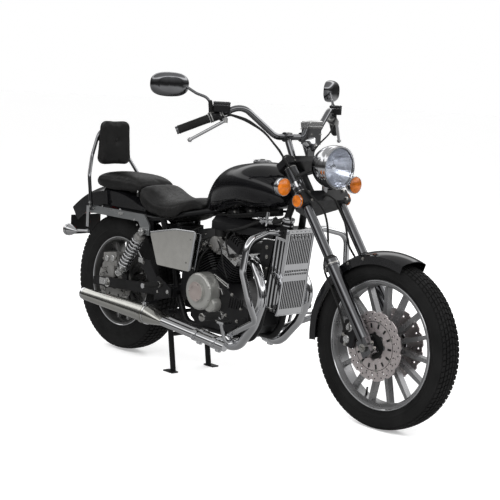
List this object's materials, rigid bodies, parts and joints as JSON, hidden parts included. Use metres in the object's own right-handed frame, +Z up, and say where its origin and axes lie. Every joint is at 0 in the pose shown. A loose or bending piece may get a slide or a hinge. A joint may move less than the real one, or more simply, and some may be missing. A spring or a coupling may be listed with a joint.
{
  "type": "cruiser motorcycle",
  "caption": "Cruiser motorcycle with raked fork, pull-back handlebar, slatted radiator guard, crash bars, stepped seat and padded backrest, parked upright on its centre stand.",
  "frame": {"origin": "on the ground under the middle of the motorcycle's length, on its centre plane", "axes": "+X forwards to the front wheel, +Y to the rider's left, +Z up"},
  "size_m": [2.2461, 1.0194, 1.2694],
  "materials": {
    "gloss_black": "gloss",
    "satin_black": "satin",
    "engine_black": "semi-matte",
    "chrome": "polished",
    "cast_silver": "satin",
    "fork_steel": "satin",
    "strut_grey": "satin",
    "tyre_rubber": "matte",
    "rubber_black": "matte",
    "black_plastic": "semi-matte",
    "leather_black": "semi-matte",
    "amber_lens": "gloss",
    "red_lens": "gloss",
    "clear_lens": "clear"
  },
  "bodies": {
    "frame": {"rear_axle": "fork_steel", "rear_fender": "gloss_black", "rear_caliper": "satin_black", "main_frame": "satin_black", "engine_crankcase": "engine_black", "engine_cylinders": "engine_black", "cylinder_heads": "cast_silver", "engine_covers": "cast_silver", "carburettor": "cast_silver", "radiator": "engine_black", "radiator_grille": "chrome", "fuel_tank": "gloss_black", "fuel_cap": "chrome", "rider_seat": "leather_black", "pillion_seat": "leather_black", "backrest_pad": "leather_black", "fender_struts": "strut_grey", "sissy_bar": "chrome", "tail_lamp": "red_lens", "plate_holder": "satin_black", "rear_signals": "chrome", "rear_amber_lenses": "amber_lens", "exhaust_pipes": "chrome", "silencers": "chrome", "hanger_plates": "satin_black", "crash_bars": "chrome", "foot_controls": "cast_silver", "swingarm": "satin_black", "shock_absorbers": "chrome", "shock_springs": "chrome", "front_sprocket": "fork_steel", "drive_chain": "fork_steel", "battery_box": "black_plastic", "side_covers": "chrome"},
    "fork": {"control_cables": "rubber_black", "triple_clamps": "satin_black", "fork_stanchions": "chrome", "fork_legs": "cast_silver", "handlebar": "chrome", "grips": "rubber_black", "hand_controls": "satin_black", "hand_levers": "chrome", "instrument_pod": "black_plastic", "headlamp": "chrome", "headlamp_lens": "clear_lens", "front_signals": "chrome", "front_amber_lenses": "amber_lens", "front_fender": "gloss_black", "front_calipers": "satin_black", "mirrors": "chrome", "front_axle": "fork_steel"},
    "front_wheel": {"front_tyre": "tyre_rubber", "front_rim": "chrome", "front_brake_discs": "fork_steel"},
    "rear_wheel": {"rear_tyre": "tyre_rubber", "rear_rim": "chrome", "rear_brake_disc": "fork_steel", "rear_sprocket": "fork_steel"},
    "centre_stand": {"centre_stand": "satin_black"},
    "side_stand": {"side_stand": "satin_black"}
  },
  "joints": [
    {"name": "steering", "type": "hinge", "parent": "frame", "child": "fork", "pos_m": [0.7628, 0, 0.2833], "axis": [-0.5948, 0, 0.8039], "range_deg": [-36, 36]},
    {"name": "front_wheel_spin", "type": "hinge", "parent": "fork", "child": "front_wheel", "pos_m": [0.807, 0, 0.316], "axis": [0, 1, 0], "continuous": true},
    {"name": "rear_wheel_spin", "type": "hinge", "parent": "frame", "child": "rear_wheel", "pos_m": [-0.753, 0, 0.319], "axis": [0, 1, 0], "continuous": true},
    {"name": "centre_stand_swing", "type": "hinge", "parent": "frame", "child": "centre_stand", "pos_m": [-0.33, 0, 0.25], "axis": [0, 1, 0], "range_deg": [0, 85]},
    {"name": "side_stand_swing", "type": "hinge", "parent": "frame", "child": "side_stand", "pos_m": [-0.04, 0.09, 0.186], "axis": [0, -0.9078, -0.4195], "range_deg": [0, 100]}
  ]
}
